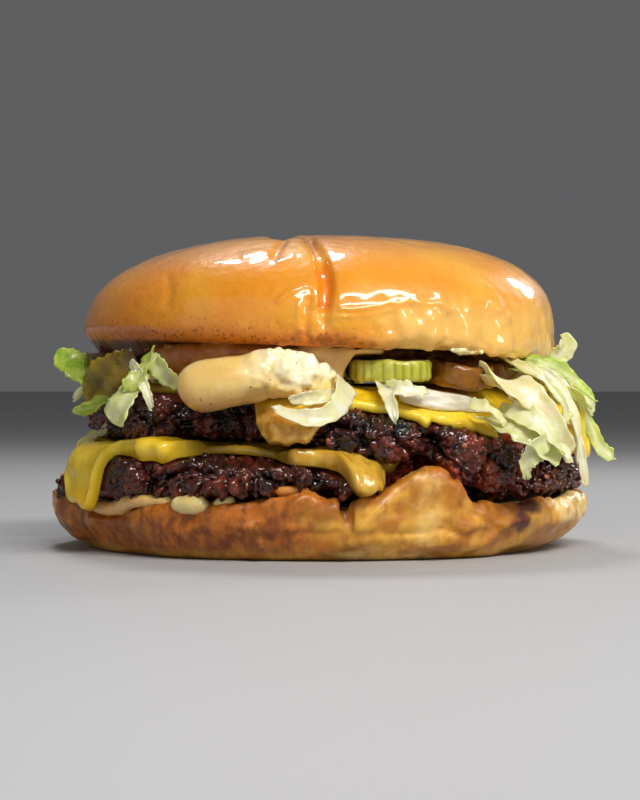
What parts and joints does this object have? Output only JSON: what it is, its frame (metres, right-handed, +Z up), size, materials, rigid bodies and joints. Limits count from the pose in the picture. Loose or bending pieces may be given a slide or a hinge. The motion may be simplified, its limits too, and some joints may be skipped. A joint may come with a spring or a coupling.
{
  "type": "double cheeseburger",
  "caption": "Double cheeseburger: glazed bun crown and heel around craggy beef patties, melted cheese slices, sauce, pickle chips, onion and shredded lettuce.",
  "frame": {"origin": "centre of the heel's flat underside", "axes": "+Z up through the stack, -Y towards the side with the crown's main crease, +X to the right seen from there"},
  "size_m": [0.1197, 0.1145, 0.0664],
  "materials": {
    "crust": "glazed golden crust",
    "bread": "soft toasted bread",
    "beef": "seared, moist",
    "cheese": "melted, glossy",
    "dressing": "thick sauce, glossy",
    "gherkin": "wet pickle",
    "leaf": "fresh lettuce",
    "white_onion": "raw onion"
  },
  "bodies": {
    "root": {"heel": "bread", "base_sauce": "dressing", "lower_patty": "beef", "lower_cheese": "cheese", "upper_patty": "beef", "upper_cheese": "cheese", "lettuce": "leaf", "pickle_front": "gherkin", "pickle_right": "gherkin", "pickle_side": "gherkin", "pickle_left": "gherkin", "pickle_back": "gherkin", "onion": "white_onion", "sauce": "dressing", "crown": "crust"}
  },
  "joints": []
}
